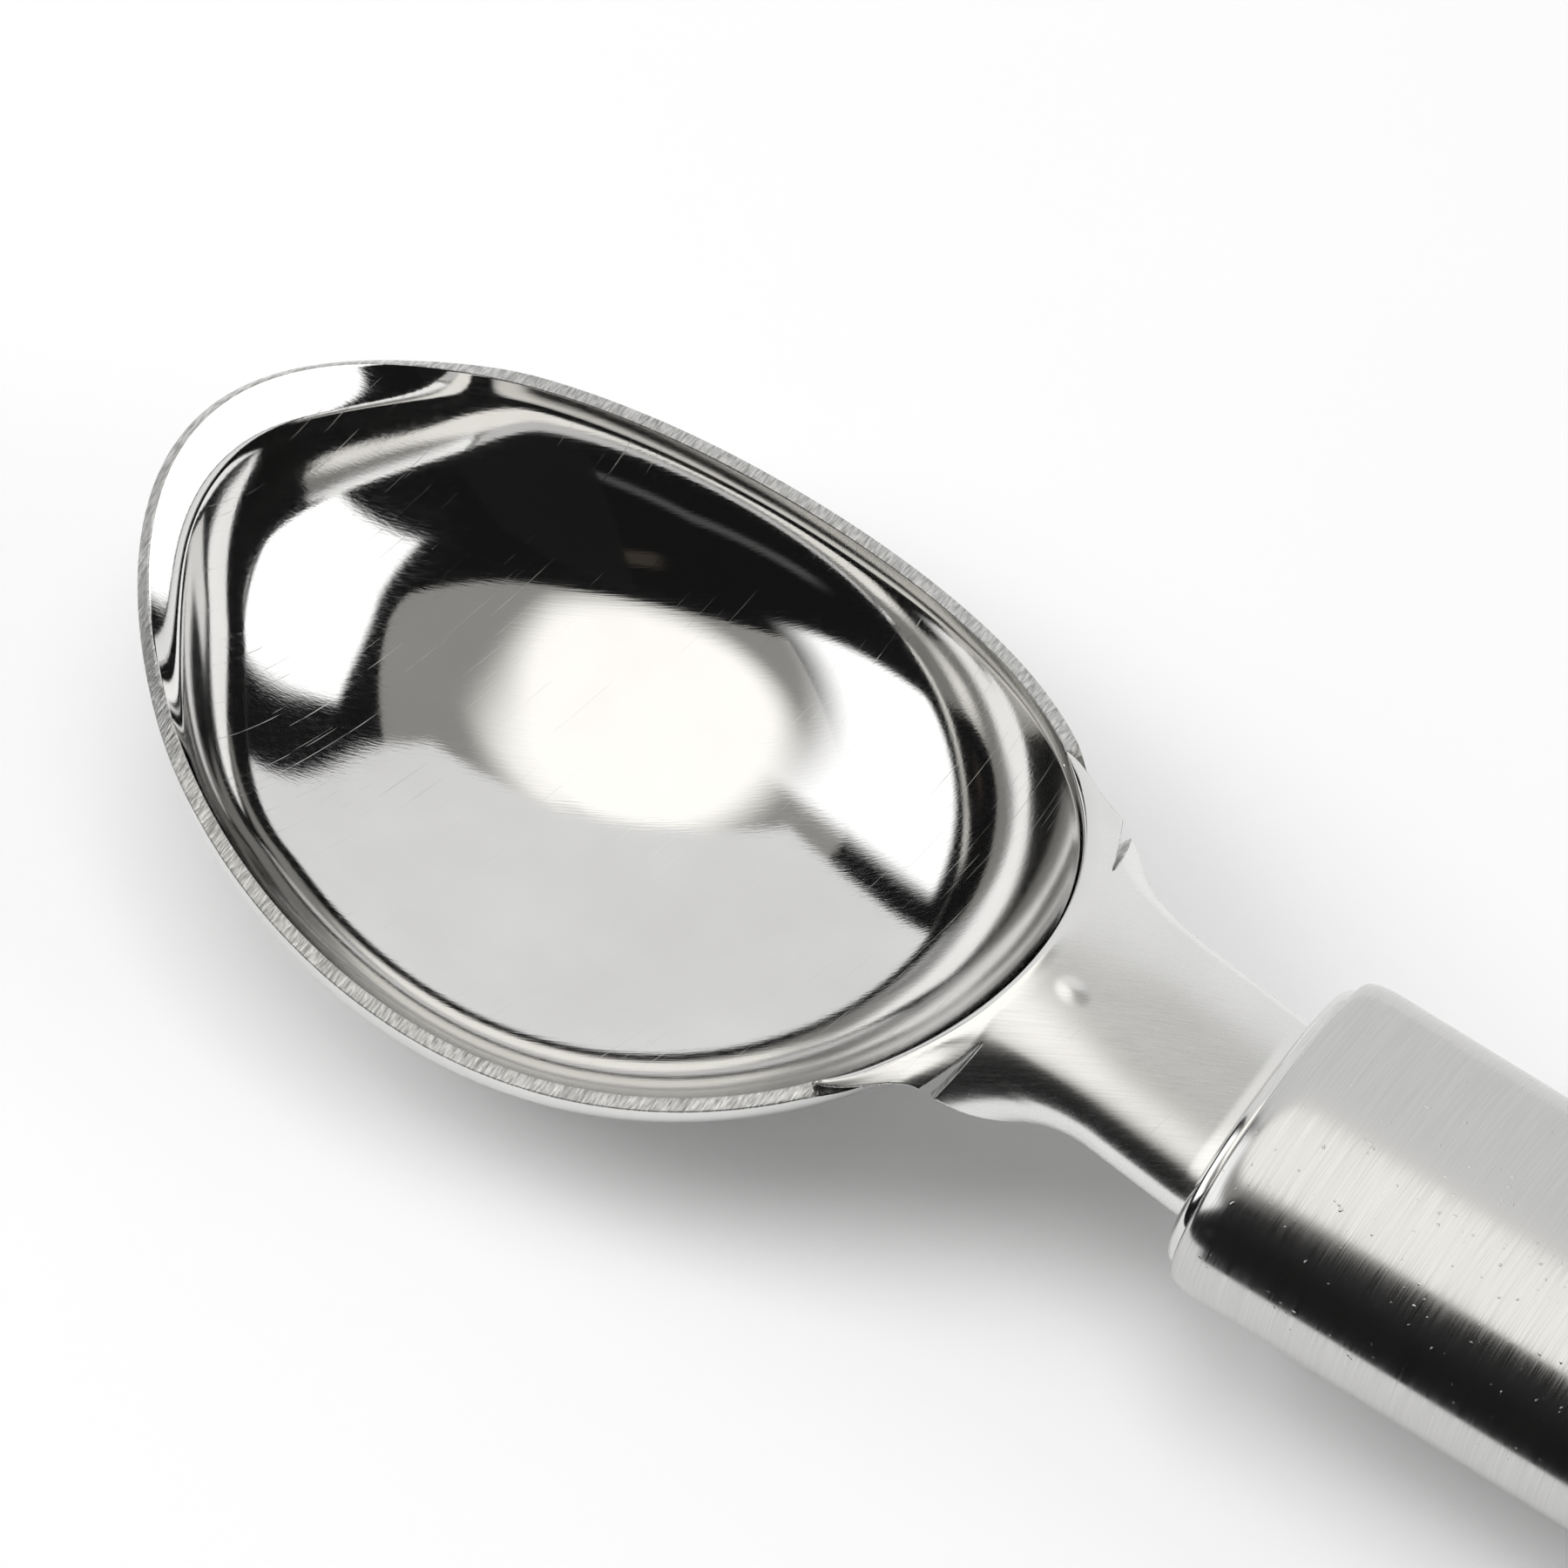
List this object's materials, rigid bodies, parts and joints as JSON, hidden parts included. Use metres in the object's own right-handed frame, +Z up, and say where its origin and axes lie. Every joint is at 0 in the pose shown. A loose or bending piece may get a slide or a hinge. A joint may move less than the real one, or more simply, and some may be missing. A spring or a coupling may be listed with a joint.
{
  "type": "ice cream scoop",
  "caption": "Ice cream scoop: a polished oval bowl with a flared lip and a folded neck pressed from sheet steel, set into a satin oval tube handle with a hanging hole.",
  "frame": {"origin": "centre of the bounding box's base, on the surface that the scoop lies on", "axes": "+X along the scoop from the bowl's tip to the handle's rear end, +Z up, +Y to the left of someone looking along +X"},
  "size_m": [0.1962, 0.0478, 0.0214],
  "materials": {
    "polished_steel": "mirror polished stainless steel with fine rub marks and a sheared edge",
    "satin_steel": "satin stainless steel, brushed around the girth",
    "cap_steel": "finely polished stainless steel",
    "inner_steel": "plain mill finish"
  },
  "bodies": {
    "root": {"bowl_and_neck": "polished_steel", "handle_tube": "satin_steel", "front_cap": "cap_steel", "tang_collar": "inner_steel", "rear_cap": "cap_steel", "hanging_eyelet": "cap_steel"}
  },
  "joints": []
}
